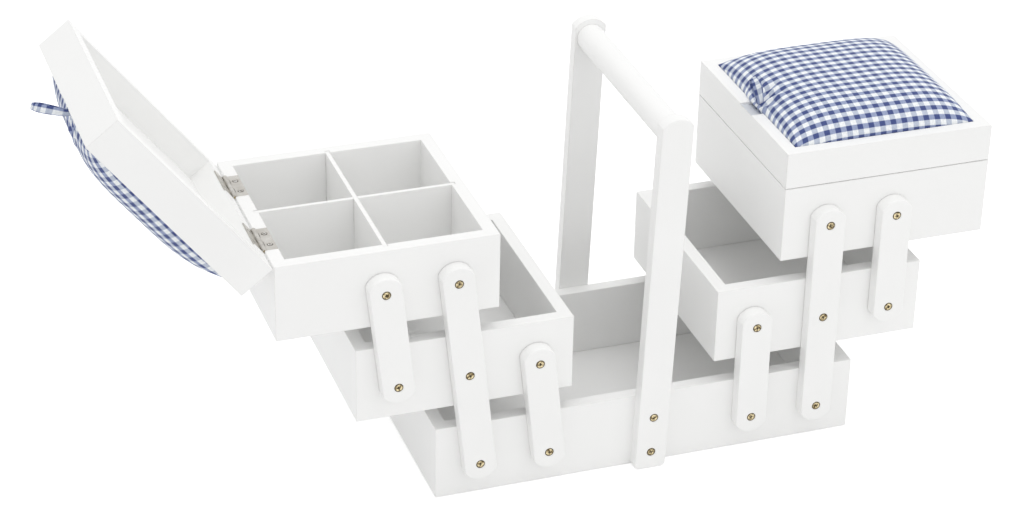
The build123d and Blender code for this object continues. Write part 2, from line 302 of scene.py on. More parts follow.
def platedMetal(name):
    # Small metal parts, barrel-finished: bright, with patches of tarnish and fine marks
    metal = plating[name]
    material, tree = newMaterial(name)
    place = addNode(tree, "ShaderNodeTexCoord")
    patches = addNode(
        tree,
        "ShaderNodeTexNoise",
        {"Scale": 1 / mm / metal["mottle"], "Detail": 3.0},
        {"Vector": (place, "Object")},
    )
    tarnish = addNode(
        tree,
        "ShaderNodeMapRange",
        {"From Min": 0.5 - metal["contrast"], "From Max": 0.5 + metal["contrast"]},
        {"Value": (patches, "Fac")},
    )
    marks = addNode(
        tree,
        "ShaderNodeTexNoise",
        {"Scale": 1 / mm / metal["brush"], "Detail": 2.0},
        {"Vector": (place, "Object")},
    )
    tone = addNode(
        tree,
        "ShaderNodeMix",
        {"data_type": "RGBA", 6: hexColour(metal["bright"]), 7: hexColour(metal["dull"])},
        {0: (tarnish, 0)},
    )
    gloss = addNode(
        tree,
        "ShaderNodeMapRange",
        {"To Min": metal["roughness"][0], "To Max": metal["roughness"][1]},
        {"Value": (tarnish, 0)},
    )
    marked = addNode(
        tree,
        "ShaderNodeBump",
        {"Strength": tumbling["strength"], "Distance": tumbling["depth"] * mm},
        {"Height": (marks, "Fac")},
    )
    plate = addNode(
        tree,
        "ShaderNodeBsdfPrincipled",
        {"Metallic": 1.0},
        {"Base Color": (tone, 2), "Roughness": (gloss, 0), "Normal": (marked, 0)},
    )
    output(tree, plate)
    return material


gingham = {
    "white": "#f3f6f8",
    "column": "#c0c8d8",  # the blue warp stripe over white threads, the paler one
    "row": "#98a3c3",  # the blue weft stripe over white threads
    "double": "#475488",  # where both blue stripes cross
    "repeat": (8.32, 7.4),  # mm, one blue and one white stripe, along and across the lid
    "start": (7.2, 6.5),  # mm from the middle of the lid to the middle of a blue stripe
    "thread": 0.43,  # mm between threads
    "threadDepth": 0.08,
    "threadStrength": 0.35,
    "threadShade": (0.93, 1.05),  # where a thread goes under and over
    "fuzz": 0.16,  # mm that a stripe's edge wanders
    "wander": 2.2,  # mm along the stripe between its wanderings
    "slub": 1.5,  # mm between thick places in the yarn
    "slubShade": (0.9, 1.08),
    "roughness": 0.88,
    "sheen": 0.12,
}


def stripeMask(tree, along, axis):
    # 1 on the blue stripe, 0 on the white one, with an edge one thread soft
    repeat, start = gingham["repeat"][axis], gingham["start"][axis]
    turns = addNode(
        tree,
        "ShaderNodeMath",
        {"operation": "MULTIPLY_ADD", 1: 1 / repeat, 2: 0.5 - start / repeat},
        {0: along},
    )
    saw = addNode(tree, "ShaderNodeMath", {"operation": "FRACT"}, {0: (turns, 0)})
    middle = addNode(tree, "ShaderNodeMath", {"operation": "SUBTRACT", 1: 0.5}, {0: (saw, 0)})
    reach = addNode(tree, "ShaderNodeMath", {"operation": "ABSOLUTE"}, {0: (middle, 0)})
    soft = gingham["thread"] / repeat / 2
    edge = 0.25  # of the repeat, from the middle of a stripe to its side
    return addNode(
        tree,
        "ShaderNodeMapRange",
        {"From Min": edge + soft, "From Max": edge - soft},
        {"Value": (reach, 0)},
    )


def wovenGingham(name):
    # Plain-woven cotton, yarn dyed: matt, with a thread relief and a slight fuzz at grazing angles
    material, tree = newMaterial(name)
    cloth = addNode(tree, "ShaderNodeUVMap", {"uv_map": "UVMap"})
    wander = addNode(
        tree,
        "ShaderNodeTexNoise",
        {"Scale": 1 / gingham["wander"], "Detail": 1.0},
        {"Vector": (cloth, 0)},
    )
    shift = addNode(
        tree,
        "ShaderNodeVectorMath",
        {"operation": "MULTIPLY_ADD", 1: [gingham["fuzz"]] * 3},
        {0: (wander, "Color"), 2: (cloth, 0)},
    )
    axes = addNode(tree, "ShaderNodeSeparateXYZ", {}, {0: (shift, 0)})
    warp = stripeMask(tree, (axes, "X"), 0)
    weft = stripeMask(tree, (axes, "Y"), 1)
    columns = addNode(
        tree,
        "ShaderNodeMix",
        {"data_type": "RGBA", 6: hexColour(gingham["white"]), 7: hexColour(gingham["column"])},
        {0: (warp, 0)},
    )
    crossing = addNode(
        tree,
        "ShaderNodeMix",
        {"data_type": "RGBA", 6: hexColour(gingham["row"]), 7: hexColour(gingham["double"])},
        {0: (warp, 0)},
    )
    dyed = addNode(
        tree,
        "ShaderNodeMix",
        {"data_type": "RGBA"},
        {0: (weft, 0), 6: (columns, 2), 7: (crossing, 2)},
    )
    # over and under of the threads, as relief and as a slight change of tone
    turn = pi / gingham["thread"]
    waves = []
    for axis in "XY":
        scaled = addNode(
            tree, "ShaderNodeMath", {"operation": "MULTIPLY", 1: turn}, {0: (axes, axis)}
        )
        waves.append(addNode(tree, "ShaderNodeMath", {"operation": "SINE"}, {0: (scaled, 0)}))
    weave = addNode(
        tree, "ShaderNodeMath", {"operation": "MULTIPLY"}, {0: (waves[0], 0), 1: (waves[1], 0)}
    )
    light = addNode(
        tree,
        "ShaderNodeMapRange",
        {
            "From Min": -1.0,
            "From Max": 1.0,
            "To Min": gingham["threadShade"][0],
            "To Max": gingham["threadShade"][1],
        },
        {"Value": (weave, 0)},
    )
    slubs = addNode(
        tree,
        "ShaderNodeTexNoise",
        {"Scale": 1 / gingham["slub"], "Detail": 2.0},
        {"Vector": (cloth, 0)},
    )
    uneven = addNode(
        tree,
        "ShaderNodeMapRange",
        {
            "From Min": 0.3,
            "From Max": 0.7,
            "To Min": gingham["slubShade"][0],
            "To Max": gingham["slubShade"][1],
        },
        {"Value": (slubs, "Fac")},
    )
    tone = addNode(
        tree, "ShaderNodeMath", {"operation": "MULTIPLY"}, {0: (light, 0), 1: (uneven, 0)}
    )
    tinted = addNode(
        tree,
        "ShaderNodeVectorMath",
        {"operation": "SCALE"},
        {0: (dyed, 2), "Scale": (tone, 0)},
    )
    relief = addNode(
        tree,
        "ShaderNodeBump",
        {"Strength": gingham["threadStrength"], "Distance": gingham["threadDepth"] * mm},
        {"Height": (weave, 0)},
    )
    cotton = addNode(
        tree,
        "ShaderNodeBsdfPrincipled",
        {
            "Roughness": gingham["roughness"],
            "Specular IOR Level": 0.25,
            "Sheen Weight": gingham["sheen"],
            "Sheen Roughness": 0.5,
        },
        {"Base Color": (tinted, 0), "Normal": (relief, 0)},
    )
    output(tree, cotton)
    return material


# painted shade: the dark colour that screws' recesses and head grooves take, where shade falls
recessShade = {"dark": "#2a241b", "pale": "#4c4130", "speckle": 0.5, "roughness": 0.85}


def darkRecessShade(name):
    # Painted shade in a driver's recess and in the groove round a screw's head: dark, matt and
    # slightly uneven
    material, tree = newMaterial(name)
    place = addNode(tree, "ShaderNodeTexCoord")
    speckle = addNode(
        tree, "ShaderNodeTexNoise", {"Scale": 1 / mm / recessShade["speckle"]}, {"Vector": (place, "Object")}
    )
    tone = addNode(
        tree,
        "ShaderNodeMix",
        {"data_type": "RGBA", 6: hexColour(recessShade["dark"]), 7: hexColour(recessShade["pale"])},
        {0: (speckle, "Fac")},
    )
    darkSurface = addNode(
        tree,
        "ShaderNodeBsdfPrincipled",
        {"Roughness": recessShade["roughness"]},
        {"Base Color": (tone, 2)},
    )
    output(tree, darkSurface)
    return material


# each takes the axis that the grain runs along and how strongly it shows through
boardPaint = satinPaint("satinWhiteOnPineBoards", "x", 0.10)
uprightPaint = satinPaint("satinWhiteOnPineUprights", "z", 0.10)
barPaint = satinPaint("satinWhiteOnBeechDowel", "y", 0.06)
# the notch's grey is painted shade, for the cushion's shadow on its ramp
notchShadePaint = satinPaint("greyPaintedShadeInNotch", "y", 0.05, *paint["paintedShadeInNotch"])
sheetPaint = satinPaint("satinWhiteOnThinPly", "y", 0.05)
yellowZinc, nickel, brightNickel, brass = [platedMetal(name) for name in plating]
# dark painted shade for the screws' recesses and the grooves round their heads
recessPaintedShade = darkRecessShade("paintedShadeInRecess")
cotton = wovenGingham("wovenBlueGingham")
print("stage: materials made")

# what a node's name holds says its finish, and any other node is a painted board
finishes = {
    "pins": brass,
    "leaf": nickel,
    "screws": yellowZinc,
    "arm": uprightPaint,
    "post": uprightPaint,
    "bar": barPaint,
    "floor": sheetPaint,
    "divider": sheetPaint,
    "panel": sheetPaint,
    "cushion": cotton,
    "loop": cotton,
}
for nodeName, node in nodes.items():
    fitting = [finish for word, finish in finishes.items() if word in nodeName]
    dress(node, fitting[0] if fitting else boardPaint)
print("stage: nodes finished")


box = {
    "length": 154.0,
    "depth": 155.9,
    "height": 55.5,
    "baseLength": 310.0,
    "baseDepth": 156.5,
    "wall": 9.5,
    "rabbet": 4.5,  # the floor lies in it
    "floor": 4.0,
    "easing": 0.55,
    "easedFrom": 40,  # degrees that an edge turns by to be eased
    "smoothTo": 45,  # degrees
    "slot": 3.2,  # grooves that take the dividers
    "slotDeep": 3.0,
}
lid = {
    "outerEnd": box["length"] / 2,
    "wall": box["wall"],
    "underside": 1.0,  # above the hinge axis
    "height": 26.5,
    "bed": 21.0,  # top of the panel that the cushion lies on
}
halves = {
    "right": {
        "turn": 0.0,  # degrees about the upright, as are open and loopLean about their own axes
        "open": 0.0,
        "loopY": -5.0,
        "loopLean": 71.0,
        "loopLength": 20.5,
        "loopRoot": (1.9, 3.6),  # inside the frame and above its rim
        "loopBelly": 2.9,  # how far its strands spread
        "loopWidth": 7.3,
    },
    "left": {
        "turn": 180.0,
        "open": 128.0,
        "loopY": 13.0,
        "loopLean": 32.0,
        "loopLength": 29.0,
        "loopRoot": (1.2, 0.5),
        "loopBelly": 1.0,
        "loopWidth": 6.3,
    },
}


def lidPlace(side):
    # a lid is drawn shut and flat, then swung about its hinge
    half = halves[side]
    return (
        Matrix.Translation(jointAt[side + "_lid_hinge"])
        @ Matrix.Rotation(radians(half["turn"]), 4, "Z")
        @ Matrix.Rotation(radians(half["open"]), 4, "Y")
        @ Matrix.Translation(Vector((-lid["outerEnd"], 0, lid["underside"])) * mm)
    )


# a bed is cut for each hinge leaf, and its drop is from the tray's rim to the hinge axis
bed = {"middle": 38.95, "length": 30.1, "drop": 0.6, "deep": 1.05, "barrel": 2.15}
notch = {"width": 20.0, "outer": 0.4, "inner": 2.5}  # its depth grows from outer to inner
spare = 5  # mm that a cutter runs past what it cuts
facing = 0.9  # a normal with this much along an axis faces that way


def selectFaces(piece, wanted):
    bpy.ops.mesh.select_mode(type="FACE")
    bpy.ops.mesh.select_all(action="DESELECT")
    mesh = bmesh.from_edit_mesh(piece.data)
    for face in mesh.faces:
        if wanted(face):
            face.select = True
    bmesh.update_edit_mesh(piece.data)


def cube(name, low, high):
    centre, size = (Vector(low) + Vector(high)) / 2, Vector(high) - Vector(low)
    bpy.ops.mesh.primitive_cube_add(size=1, location=centre * mm, scale=size * mm)
    piece = added(name)
    settle(piece)
    return piece


def cutAway(piece, cutters):
    for cutter in cutters:
        cut = piece.modifiers.new("cut", "BOOLEAN")
        cut.operation = "DIFFERENCE"
        cut.solver = "EXACT"
        cut.object = cutter
        applyAll(piece)
        bpy.data.objects.remove(cutter)


def glueUp(name, length, depth, height, floorSeat, cutters):
    # four boards glued, filled, sanded and painted as one
    piece = cube(name, (-length / 2, -depth / 2, 0), (length / 2, depth / 2, height))
    pick(piece)
    bpy.ops.object.mode_set(mode="EDIT")
    selectFaces(piece, lambda face: face.normal.z < -facing)
    if floorSeat:
        bpy.ops.mesh.inset(thickness=(box["wall"] - box["rabbet"]) * mm)
        bpy.ops.mesh.extrude_region_move(
            TRANSFORM_OT_translate={"value": (0, 0, box["floor"] * mm)}
        )
        bpy.ops.mesh.inset(thickness=box["rabbet"] * mm)
    else:
        bpy.ops.mesh.inset(thickness=box["wall"] * mm)
    bpy.ops.mesh.delete(type="FACE")
    rim = height * mm * 0.9  # only the top face lies above this
    selectFaces(
        piece, lambda face: face.normal.z > facing and face.calc_center_median().z > rim
    )
    bpy.ops.mesh.inset(thickness=box["wall"] * mm)
    bpy.ops.mesh.delete(type="FACE")
    bpy.ops.mesh.select_mode(type="EDGE")
    bpy.ops.mesh.select_all(action="DESELECT")
    bpy.ops.mesh.select_non_manifold()
    bpy.ops.mesh.bridge_edge_loops()
    bpy.ops.object.mode_set(mode="OBJECT")
    outward(piece)
    easing = piece.modifiers.new("easing", "BEVEL")
    easing.limit_method = "ANGLE"
    easing.angle_limit = radians(box["easedFrom"])
    easing.width = box["easing"] * mm
    easing.segments = 2
    applyAll(piece)
    cutAway(piece, cutters)
    smooth(piece, box["smoothTo"])
    even = piece.modifiers.new("even", "WEIGHTED_NORMAL")
    even.keep_sharp = True
    applyAll(piece)
    return piece


def hingeBeds(height, above):
    # a bed across the end board for each leaf, and a channel that clears the barrel
    end, half, deep = box["length"] / 2, bed["length"] / 2, bed["deep"]
    cutters = []
    for y in (-bed["middle"], bed["middle"]):
        low, high = (height - deep, height + spare) if above else (-spare, deep)
        cutters.append(
            cube("bed", (end - 2 * box["wall"], y - half, low), (end + spare, y + half, high))
        )
        axisZ = height - bed["drop"] if above else -lid["underside"]
        bpy.ops.mesh.primitive_cylinder_add(
            vertices=32,
            radius=bed["barrel"] * mm,
            depth=bed["length"] * mm,
            location=Vector((end, y, axisZ)) * mm,
            rotation=(pi / 2, 0, 0),
        )
        channel = added("channel")
        settle(channel)
        cutters.append(channel)
    return cutters


def dividerSlots():
    reachX = box["length"] / 2 - box["wall"] + box["slotDeep"]
    reachY = box["depth"] / 2 - box["wall"] + box["slotDeep"]
    half, top = box["slot"] / 2, box["height"] + spare
    return [
        cube("slot", (-reachX, -half, box["floor"]), (reachX, half, top)),
        cube("slot", (-half, -reachY, box["floor"]), (half, reachY, top)),
    ]


def loopNotch(loopY):
    # a shallow ramp in the free end's rim, where the pull loop passes over
    ramp = cube(
        "ramp",
        (-lid["outerEnd"] - spare, loopY - notch["width"] / 2, lid["height"] - notch["outer"]),
        (-lid["outerEnd"] + lid["wall"], loopY + notch["width"] / 2, lid["height"] + spare),
    )
    rate = (notch["inner"] - notch["outer"]) / lid["wall"]
    for vertex in ramp.data.vertices:
        if vertex.co.z > lid["height"] * mm:
            continue
        if vertex.co.x > -lid["outerEnd"] * mm:
            vertex.co.z = (lid["height"] - notch["inner"]) * mm
        else:  # keeps its slope outside the end
            vertex.co.z = (lid["height"] - notch["outer"] + spare * rate) * mm
    return ramp


def placeBox(piece, matrix, nodeName, body, notchY=None):
    dress(piece, boardPaint)
    if notchY is not None:
        # the faces of the notch's ramp take the grey painted shade, for the cushion's shadow there
        piece.data.materials.append(notchShadePaint)
        top, low = lid["height"] * mm, (lid["height"] - notch["inner"]) * mm
        for face in piece.data.polygons:
            near = abs(face.center.y / mm - notchY) < notch["width"] / 2
            ramp = face.center.x < 0 and face.normal.z > facing and low < face.center.z < top
            if near and ramp:
                face.material_index = 1
    moveMesh(piece, matrix)
    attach(piece, body)
    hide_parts(nodeName)


base = glueUp("baseBox", box["baseLength"], box["baseDepth"], box["height"], True, [])
placeBox(base, Matrix(), "base_walls", "base")
tray = (box["length"], box["depth"], box["height"], True)
for side, half in halves.items():
    turn = Matrix.Rotation(radians(half["turn"]), 4, "Z")
    middle = glueUp(side + "MiddleBox", *tray, [])
    drop = Vector((0, 0, -box["height"] / 2)) * mm
    placeBox(
        middle,
        Matrix.Translation(jointAt[side + "_middle_level"] + drop) @ turn,
        side + "_middle_walls",
        side + "_middle_tray",
    )
    top = glueUp(side + "TopBox", *tray, dividerSlots() + hingeBeds(box["height"], above=True))
    hingeSpot = Vector((-box["length"] / 2, 0, bed["drop"] - box["height"])) * mm
    placeBox(
        top,
        Matrix.Translation(jointAt[side + "_lid_hinge"]) @ turn @ Matrix.Translation(hingeSpot),
        side + "_top_walls",
        side + "_top_tray",
    )
    cutters = hingeBeds(lid["height"], above=False) + [loopNotch(half["loopY"])]
    rim = glueUp(side + "LidRim", box["length"], box["depth"], lid["height"], False, cutters)
    placeBox(rim, lidPlace(side), side + "_lid_frame", side + "_lid", half["loopY"])
print("stage: boxes glued up")


screw = {
    "pivot": {
        "head": 6.3,
        "shank": 3.5,
        "length": 16.4,
        "cross": 3.5,
        "blade": 0.85,
        "deep": 1.3,
        "groove": 0.6,
    },
    "hinge": {
        "head": 4.4,
        "shank": 2.4,
        "length": 7.9,
        "cross": 2.3,
        "blade": 0.62,
        "deep": 0.9,
        "groove": 0.62,
    },
}
screwTip = {"length": 2.2, "width": 0.55}  # the width is a share of the shank's
screwFacets = 28
recessTaper = 0.45  # width at the recess's bottom, as a share of its mouth's
ringFloor = -0.32  # mm, the bottom of the groove round the head
drivenAt = {"first": 17, "step": 41}  # degrees, as each screw ends at its own angle


def turnedScrew(kind, finish):
    # a countersunk head with a cross recess, its outline turned about the screw's own axis
    size = screw[kind]
    head, shank = size["head"] / 2, size["shank"] / 2
    profile = [
        (0, -size["length"]),
        (shank * screwTip["width"], -size["length"]),
        (shank, -size["length"] + screwTip["length"]),
        (shank, shank - head),  # the cone under the head starts here, at 45 degrees
        (head - 0.2, -0.28),
        (head, -0.16),  # the rim's worn edge
        (head - 0.08, -0.1),
        (head - 0.2, ringFloor),  # a groove, whose faces take the dark painted shade
        (head - size["groove"], ringFloor),
        (head - size["groove"] - 0.08, -0.04),
        (head * 0.5, 0.04),  # a slightly domed face
        (0, 0.02),
    ]
    bpy.ops.mesh.primitive_plane_add(size=2 * mm)
    piece = added(kind + "Screw")
    bpy.ops.object.mode_set(mode="EDIT")
    bpy.ops.mesh.select_all(action="SELECT")
    bpy.ops.mesh.delete(type="VERT")
    mesh = bmesh.from_edit_mesh(piece.data)
    points = [mesh.verts.new((r * mm, 0, z * mm)) for r, z in profile]
    for start, end in zip(points, points[1:]):
        mesh.edges.new((start, end))
    bmesh.update_edit_mesh(piece.data)
    bpy.ops.mesh.select_all(action="SELECT")
    bpy.ops.mesh.spin(
        steps=screwFacets, angle=2 * pi, center=(0, 0, 0), axis=(0, 0, 1), use_auto_merge=True
    )
    bpy.ops.mesh.select_all(action="SELECT")
    bpy.ops.mesh.remove_doubles(threshold=1e-6)
    bpy.ops.mesh.normals_make_consistent(inside=False)
    bpy.ops.object.mode_set(mode="OBJECT")
    blades = []
    for turn in (0, 90):
        bpy.ops.mesh.primitive_cube_add(size=1)
        blade = added("blade")
        blade.scale = (size["cross"] * mm, size["blade"] * mm, 2 * size["deep"] * mm)
        blade.rotation_euler = (0, 0, radians(turn))
        settle(blade)
        for vertex in blade.data.vertices:  # the driver's tip narrows
            if vertex.co.z < 0:
                vertex.co.x *= recessTaper
                vertex.co.y *= recessTaper
        blades.append(blade)
    cutAway(piece, blades)
    smooth(piece, 35)
    dress(piece, finish)
    # the cross recess and the groove round the head take the dark painted shade
    piece.data.materials.append(recessPaintedShade)
    for face in piece.data.polygons:
        x, y, z = face.center / mm
        out = sqrt(x * x + y * y)
        recess = out < size["cross"] / 2 and -size["deep"] - 0.05 < z < -0.06
        groove = head - size["groove"] - 0.1 < out < head - 0.1 and z > ringFloor - 0.02
        if recess or groove:
            face.material_index = 1
    return piece


def driveScrews(pattern, places, nodeName, body, name):
    copies = []
    for i, (point, direction) in enumerate(places):
        copy = duplicate(pattern, f"{name}{i}")
        turn = Matrix.Rotation(radians(drivenAt["first"] + drivenAt["step"] * i), 4, "Z")
        aim = direction.to_track_quat("Z", "Y").to_matrix().to_4x4()
        moveMesh(copy, Matrix.Translation(point) @ aim @ turn)
        copies.append(copy)
    group = joined(copies, name)
    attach(group, body)
    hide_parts(nodeName)


def drivePivots(points, nodeName, body, name):
    # one at each point on the front and one on the rear
    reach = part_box(nodeName)[1].y
    places = [
        (Vector((point.x, face * reach, point.z)), Vector((0, face, 0)))
        for point in points
        for face in (-1, 1)
    ]
    driveScrews(pivotScrew, places, nodeName, body, name)


pivotScrew = turnedScrew("pivot", yellowZinc)
hingeScrew = turnedScrew("hinge", brightNickel)

pivotPitch = Vector((50.0 * mm, 0, 0))
basePivots = [jointAt[f"{side}_{joint}"] for side in halves for joint in ("swing", "lower_swing")]
drivePivots(basePivots, "base_pivot_screws", "base", "basePivotScrews")
handle = {"lean": 1.9, "screwHeights": (13.0, 41.0)}
postPoints = [
    Vector((height * tan(radians(handle["lean"])), 0, height)) * mm
    for height in handle["screwHeights"]
]
drivePivots(postPoints, "handle_screws", "base", "handleScrews")

hingeSpots = {"pitch": 15.0, "fromAxis": 5.6, "trayHead": 0.55, "lidHead": 1.05}
for side, half in halves.items():
    sign = 1 if side == "right" else -1
    level = jointAt[side + "_middle_level"]
    drivePivots(
        [level - pivotPitch, level, level + pivotPitch],
        side + "_middle_screws",
        side + "_middle_tray",
        side + "MiddleScrews",
    )
    top = jointAt[side + "_top_level"]
    drivePivots(
        [top, top + sign * pivotPitch],
        side + "_top_screws",
        side + "_top_tray",
        side + "TopScrews",
    )
    turn = Matrix.Rotation(radians(half["turn"]), 4, "Z")
    swing = turn @ Matrix.Rotation(radians(half["open"]), 4, "Y")
    axis = jointAt[side + "_lid_hinge"]
    ys = [
        place + step * hingeSpots["pitch"] / 2
        for place in (-bed["middle"], bed["middle"])
        for step in (-1, 1)
    ]
    trayPlaces = [
        (
            axis + turn @ (Vector((-hingeSpots["fromAxis"], y, hingeSpots["trayHead"])) * mm),
            Vector((0, 0, 1)),
        )
        for y in ys
    ]
    lidPlaces = [
        (
            axis + swing @ (Vector((-hingeSpots["fromAxis"], y, hingeSpots["lidHead"])) * mm),
            swing @ Vector((0, 0, -1)),
        )
        for y in ys
    ]
    driveScrews(
        hingeScrew,
        trayPlaces,
        side + "_hinge_tray_screws",
        side + "_top_tray",
        side + "HingeTrayScrews",
    )
    driveScrews(
        hingeScrew,
        lidPlaces,
        side + "_hinge_lid_screws",
        side + "_lid",
        side + "HingeLidScrews",
    )
bpy.data.objects.remove(pivotScrew)
bpy.data.objects.remove(hingeScrew)
print("stage: screws driven")


pad = {
    "halfLength": 67.2,
    "halfDepth": 68.1,
    "crown": 18.5,
    "fullness": 0.6,
    "cells": 96,
    "gatherReach": 19.0,  # mm round the loop in which the cloth is drawn in
    "gatherPull": 0.35,
    "gatherDip": 4.0,
    "dipOver": 7.0,  # mm of crown at which the dip is full
    "dipLimit": 0.4,  # mm below the rim
    "folds": 9,
    "foldsMeet": 2.0,  # mm outside the end of the pad
    "foldPhase": 0.9,
    "foldHeight": 1.5,
    "foldOver": 3.0,  # mm of crown at which the folds are full
    "ridges": 2.3,  # finer folds to each main one
    "ridgePhase": 2.1,
    "ridgeShare": 0.4,
    "spill": 2.7,
    "spillRise": 0.9,
    "spillFrom": 0.9,  # share of the half length past which the cloth spills
    "spillReach": 19,
    "spillOff": 6,  # mm from the loop to the middle of the spill
    "skirt": 2.1,  # mm that the edge of the cloth falls before its last crease
    "clear": 0.1,  # mm from that edge to the panel
}


def crownHeight(u, v):
    rest = max(0.0, (1 - min(1.0, abs(u)) ** 4) * (1 - min(1.0, abs(v)) ** 4))
    return pad["crown"] * rest ** pad["fullness"]


def evenSteps(half, cells):
    # places across the crown at even steps of cloth, each with its length of cloth from the middle
    fine = 2000
    length, table = 0.0, [(0.0, 0.0)]
    for i in range(1, fine + 1):
        a, b = (i - 1) / fine, i / fine
        rise = crownHeight(b, 0) - crownHeight(a, 0)
        length += sqrt((half / fine) ** 2 + rise**2)
        table.append((b, length))
    steps = []
    k = 0
    for i in range(cells // 2 + 1):
        goal = length * i / (cells // 2)
        while table[k][1] < goal - 1e-9 and k < fine:
            k += 1
        steps.append((table[k][0] * half, goal))
    return [(-x, -s) for x, s in reversed(steps[1:])] + steps


def shapeCushion(name, loopY):
    cells = pad["cells"]
    across = evenSteps(pad["halfLength"], cells)
    deep = evenSteps(pad["halfDepth"], cells)
    bpy.ops.mesh.primitive_grid_add(
        x_subdivisions=cells, y_subdivisions=cells, size=2.0, calc_uvs=True
    )
    piece = added(name)
    piece.data.uv_layers[0].name = "UVMap"
    cloth = {}
    for vertex in piece.data.vertices:
        i = round((vertex.co.x + 1) / 2 * cells)
        j = round((vertex.co.y + 1) / 2 * cells)
        (x, sx), (y, sy) = across[i], deep[j]
        u, v = x / pad["halfLength"], y / pad["halfDepth"]
        z = lid["height"] + crownHeight(u, v)
        # along the rim the checks keep their spacing, over the crown they follow its curve
        cloth[vertex.index] = (x + (sx - x) * (1 - v**4), y + (sy - y) * (1 - u**4))
        dx, dy = x + pad["halfLength"], y - loopY
        near = max(0.0, 1 - sqrt(dx * dx + dy * dy) / pad["gatherReach"])
        turn = atan2(dy, dx + pad["foldsMeet"])
        swell = near * (1 - near) * 4  # the folds rise and fall again on their way out
        fold = sin(pad["folds"] * turn + pad["foldPhase"]) * swell
        ridge = sin(pad["ridges"] * pad["folds"] * turn + pad["ridgePhase"]) * swell
        fold += ridge * pad["ridgeShare"]
        y -= dy * pad["gatherPull"] * near * near
        z -= pad["gatherDip"] * near**1.5 * min(1.0, crownHeight(u, v) / pad["dipOver"])
        z += fold * pad["foldHeight"] * min(1.0, crownHeight(u, v) / pad["foldOver"])
        z = max(z, lid["height"] - pad["dipLimit"])
        if u < -pad["spillFrom"]:  # the bunched cloth spills over the notch and the rim beside it
            off = (y - loopY - pad["spillOff"]) / pad["spillReach"]
            over = max(0.0, 1 - off**2) * (-u - pad["spillFrom"]) / (1 - pad["spillFrom"])
            x -= pad["spill"] * over
            z += pad["spillRise"] * over
        vertex.co = Vector((x, y, z)) * mm
    for loop in piece.data.loops:
        piece.data.uv_layers[0].data[loop.index].uv = cloth[loop.vertex_index]
    # the edge of the cloth goes down inside the frame, to just above the panel
    lastFall = lid["bed"] + pad["clear"] + pad["skirt"] - lid["height"]
    pick(piece)
    bpy.ops.object.mode_set(mode="EDIT")
    bpy.ops.mesh.select_all(action="SELECT")
    bpy.ops.mesh.region_to_loop()
    for fall in (-pad["skirt"], lastFall):
        bpy.ops.mesh.extrude_region_move(TRANSFORM_OT_translate={"value": (0, 0, fall * mm)})
        mesh = bmesh.from_edit_mesh(piece.data)
        for vertex in mesh.verts:
            if vertex.select:
                vertex.co.x = max(vertex.co.x, -pad["halfLength"] * mm)
        bmesh.update_edit_mesh(piece.data)
    bpy.ops.object.mode_set(mode="OBJECT")
    return piece


def closeUnderside(piece):
    # last, because a face with this many sides must not be subdivided
    pick(piece)
    bpy.ops.object.mode_set(mode="EDIT")
    bpy.ops.mesh.select_mode(type="EDGE")
    bpy.ops.mesh.select_all(action="DESELECT")
    bpy.ops.mesh.select_non_manifold()
    bpy.ops.mesh.edge_face_add()
    bpy.ops.object.mode_set(mode="OBJECT")
    outward(piece)


# most is the mm that a point may move; the cloth is tacked down along its rim, up to that height
# in mm, and that far round the loop
wadding = {"pressure": 2.0, "frames": 20, "most": 2.2, "tackedRim": 1.2, "tackedRoot": 5}


def fillCushion(piece, loopY):
    # air pressure stands for the wadding
    held = piece.vertex_groups.new(name="tacked")
    start = [v.co.copy() for v in piece.data.vertices]
    for vertex in piece.data.vertices:
        x, y, z = vertex.co / mm
        away = sqrt((x + pad["halfLength"]) ** 2 + (y - loopY) ** 2)
        if z < lid["height"] + wadding["tackedRim"] or away < wadding["tackedRoot"]:
            held.add([vertex.index], 1.0, "ADD")
    cloth = piece.modifiers.new("cloth", "CLOTH")
    settings = cloth.settings
    settings.quality = 6
    settings.mass = 0.15
    settings.tension_stiffness = 25
    settings.compression_stiffness = 12
    settings.shear_stiffness = 8
    settings.bending_stiffness = 0.08
    settings.use_pressure = True
    settings.uniform_pressure_force = wadding["pressure"]
    settings.effector_weights.gravity = 0
    settings.vertex_group_mass = held.name
    cloth.point_cache.frame_start = 1
    cloth.point_cache.frame_end = wadding["frames"]
    scene = bpy.context.scene
    for step in range(1, wadding["frames"] + 1):
        scene.frame_set(step)
    applyAll(piece)
    scene.frame_set(1)
    most = wadding["most"] * mm
    for vertex, was in zip(piece.data.vertices, start):
        moved = vertex.co - was
        if moved.length > most:
            vertex.co = was + moved * (most / moved.length)


tape = {
    "thickness": 0.8,
    "tail": 4.0,  # runs down into the gather
    "apart": 0.45,  # from the middle to each strand, where they lie closest
    "slack": 1.12,  # cloth along a strand to each mm that it reaches
    "roundTip": 0.62,  # smaller is blunter
    "cup": 0.35,
    "twist": 0.2,
    "pinch": (0.45, 0.35),  # of its width, at the root and at the tip
    "checkAt": 2.15,  # mm along the weft to the middle of the tape
}


